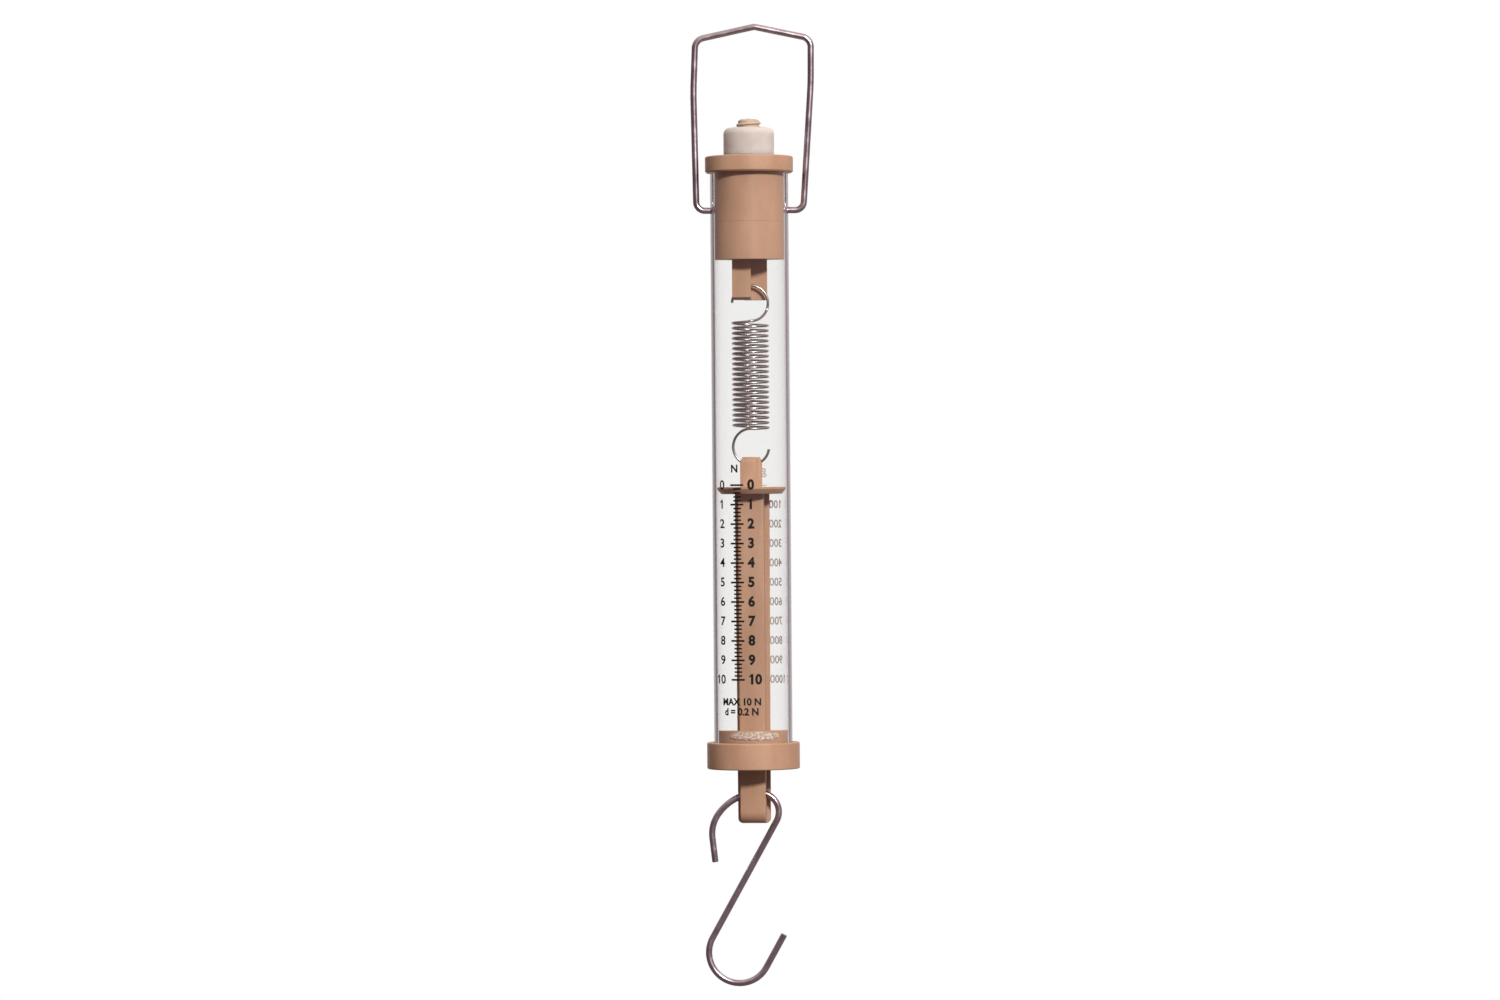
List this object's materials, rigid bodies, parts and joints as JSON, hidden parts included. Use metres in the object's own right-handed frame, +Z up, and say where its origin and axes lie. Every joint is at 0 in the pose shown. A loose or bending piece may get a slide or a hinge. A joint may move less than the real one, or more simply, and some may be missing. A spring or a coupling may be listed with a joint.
{
  "type": "hanging spring scale",
  "caption": "Tubular hanging spring scale: clear tube with moulded end caps, coil spring, sliding plunger with indicator disc, zero nut, wire bail above and S-hook below.",
  "frame": {"origin": "the hang point: the underside of the bail's crown, where a hook or peg bears", "axes": "+Z up along the tube, -Y is the printed front of the tube, +X to the right of someone who reads it"},
  "size_m": [0.0401, 0.03, 0.3114],
  "materials": {
    "tan_plastic": "satin",
    "clear_plastic": "polished",
    "white_nylon": "satin",
    "spring_steel": "gloss",
    "plated_wire": "gloss"
  },
  "bodies": {
    "bail": {"bail": "plated_wire"},
    "casing": {"tube": "clear_plastic", "top_cap": "tan_plastic", "bottom_cap": "tan_plastic"},
    "nut": {"zero_nut": "white_nylon"},
    "hanger": {"spring_hanger": "tan_plastic", "spring": "spring_steel"},
    "plunger": {"plunger": "tan_plastic"},
    "hook": {"s_hook": "plated_wire"}
  },
  "joints": [
    {"name": "casing_swing", "type": "hinge", "parent": "bail", "child": "casing", "pos_m": [-0.002, 0, -0.0583], "axis": [1, 0, 0], "range_deg": [-160, 160]},
    {"name": "zero_nut_spin", "type": "hinge", "parent": "casing", "child": "nut", "pos_m": [-0.002, 0, -0.0409], "axis": [0, 0, 1], "range_deg": [-900, 900]},
    {"name": "hanger_slide", "type": "slide", "parent": "casing", "child": "hanger", "axis": [0, 0, 1], "range_m": [-0.00375, 0.00375]},
    {"name": "plunger_slide", "type": "slide", "parent": "hanger", "child": "plunger", "axis": [0, 0, -1], "range_m": [0, 0.072], "stiffness_N_per_m": 159, "springref_m": -0.00088, "deforming": ["spring"]},
    {"name": "hook_swing", "type": "hinge", "parent": "plunger", "child": "hook", "pos_m": [-0.002, -0.0006, -0.2469], "axis": [0.9976, -0.0698, 0], "range_deg": [-90, 90]}
  ],
  "couplings": [
    {"joint": "zero_nut_spin", "follows": "hanger_slide", "rad_per_m": -4188.8}
  ]
}
